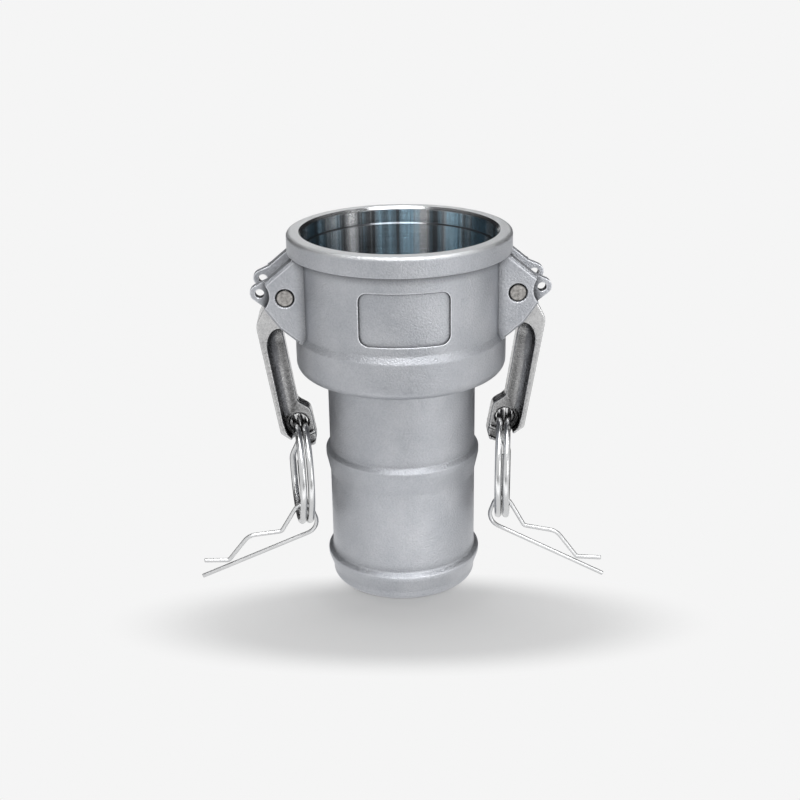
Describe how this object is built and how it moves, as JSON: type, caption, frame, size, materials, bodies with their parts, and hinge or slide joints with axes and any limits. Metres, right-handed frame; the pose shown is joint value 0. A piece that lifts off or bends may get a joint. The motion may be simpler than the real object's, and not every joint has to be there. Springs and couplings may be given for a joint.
{
  "type": "cam and groove coupler",
  "caption": "Cast cam and groove coupler with a barbed hose shank, swinging cam arms, split finger rings, wire safety clips and a seat gasket.",
  "frame": {"origin": "centre of the shank's end face, on which the coupler stands", "axes": "+Z along the bore towards the mouth, +X towards one cam arm, -Y towards the side with the plain panel"},
  "size_m": [0.1447, 0.0752, 0.126],
  "materials": {
    "cast_body": "bead-blasted stainless casting, socket bore turned bright",
    "arm_steel": "tumbled stainless casting",
    "pin_steel": "sawn and dulled stainless rod",
    "wire_steel": "bright drawn stainless wire",
    "seal_rubber": "matt black moulded rubber"
  },
  "bodies": {
    "coupler": {"body": "cast_body", "gasket": "seal_rubber", "arm_pin_left": "pin_steel", "arm_pin_right": "pin_steel"},
    "arm_left": {"cam_arm_left": "arm_steel"},
    "ring_left": {"finger_ring_left": "wire_steel"},
    "clip_left": {"safety_clip_left": "wire_steel"},
    "arm_right": {"cam_arm_right": "arm_steel"},
    "ring_right": {"finger_ring_right": "wire_steel"},
    "clip_right": {"safety_clip_right": "wire_steel"}
  },
  "joints": [
    {"name": "arm_left_hinge", "type": "hinge", "parent": "coupler", "child": "arm_left", "pos_m": [-0.0382, 0, 0.1068], "axis": [0, 1, 0], "range_deg": [0, 110]},
    {"name": "ring_left_swing", "type": "hinge", "parent": "arm_left", "child": "ring_left", "pos_m": [-0.03592, 0, 0.0586], "axis": [-0.1392, 0.9903, 0], "range_deg": [-5, 75]},
    {"name": "clip_left_swing", "type": "hinge", "parent": "ring_left", "child": "clip_left", "pos_m": [-0.03651, -0.00008, 0.01943], "axis": [-0.1392, 0.9903, 0], "range_deg": [-60, 60]},
    {"name": "arm_right_hinge", "type": "hinge", "parent": "coupler", "child": "arm_right", "pos_m": [0.0382, 0, 0.1068], "axis": [0, -1, 0], "range_deg": [0, 110]},
    {"name": "ring_right_swing", "type": "hinge", "parent": "arm_right", "child": "ring_right", "pos_m": [0.03592, 0, 0.0586], "axis": [-0.1392, -0.9903, 0], "range_deg": [-5, 75]},
    {"name": "clip_right_swing", "type": "hinge", "parent": "ring_right", "child": "clip_right", "pos_m": [0.03648, -0.00021, 0.01965], "axis": [-0.342, -0.9397, 0], "range_deg": [-60, 60]}
  ]
}
